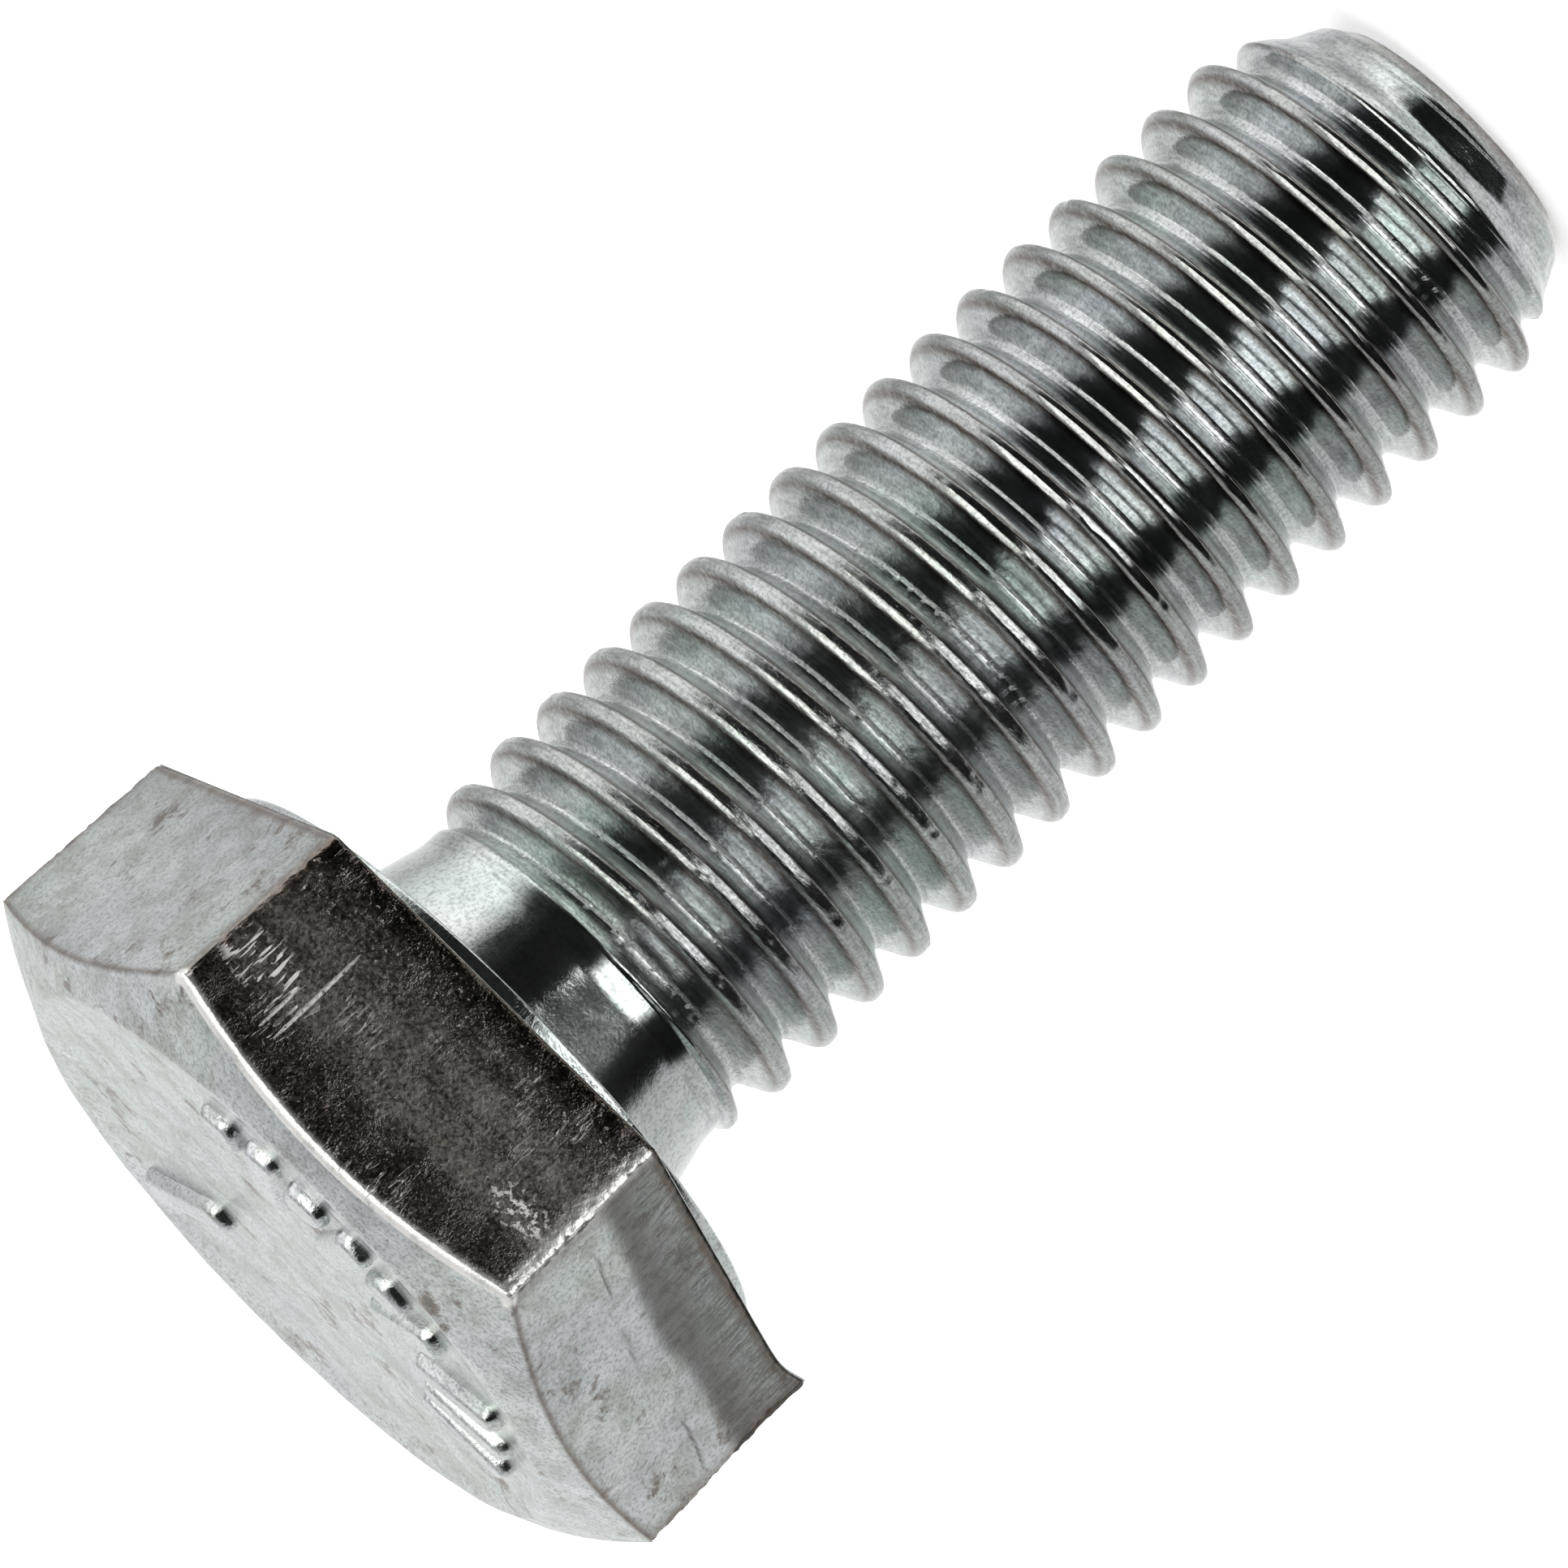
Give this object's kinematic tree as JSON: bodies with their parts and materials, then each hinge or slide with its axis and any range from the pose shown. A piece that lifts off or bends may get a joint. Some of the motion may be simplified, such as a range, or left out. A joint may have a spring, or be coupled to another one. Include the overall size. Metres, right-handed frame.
{
  "type": "hex bolt",
  "caption": "Fully threaded metric hex bolt with a heavy hexagon head, washer face, short plain neck and chamfered point, bright zinc plated.",
  "frame": {"origin": "centre of the bearing face, the ring under the head that rests on the work", "axes": "+Z along the bolt's axis out of the top of the head, so the shank runs down along -Z; two flats of the hexagon face -Y and +Y"},
  "size_m": [0.0242, 0.021, 0.0439],
  "materials": {
    "head_zinc": "bright bluish zinc plate, satin, sheared and scuffed on the flats",
    "shank_zinc": "bright bluish zinc plate, smooth and glossy",
    "thread_zinc": "bright bluish zinc plate over rolled threads, glossy with brownish crests"
  },
  "bodies": {
    "root": {"hex_head": "head_zinc", "head_marks": "head_zinc", "washer_face": "shank_zinc", "neck": "shank_zinc", "threaded_shank": "thread_zinc"}
  },
  "joints": []
}
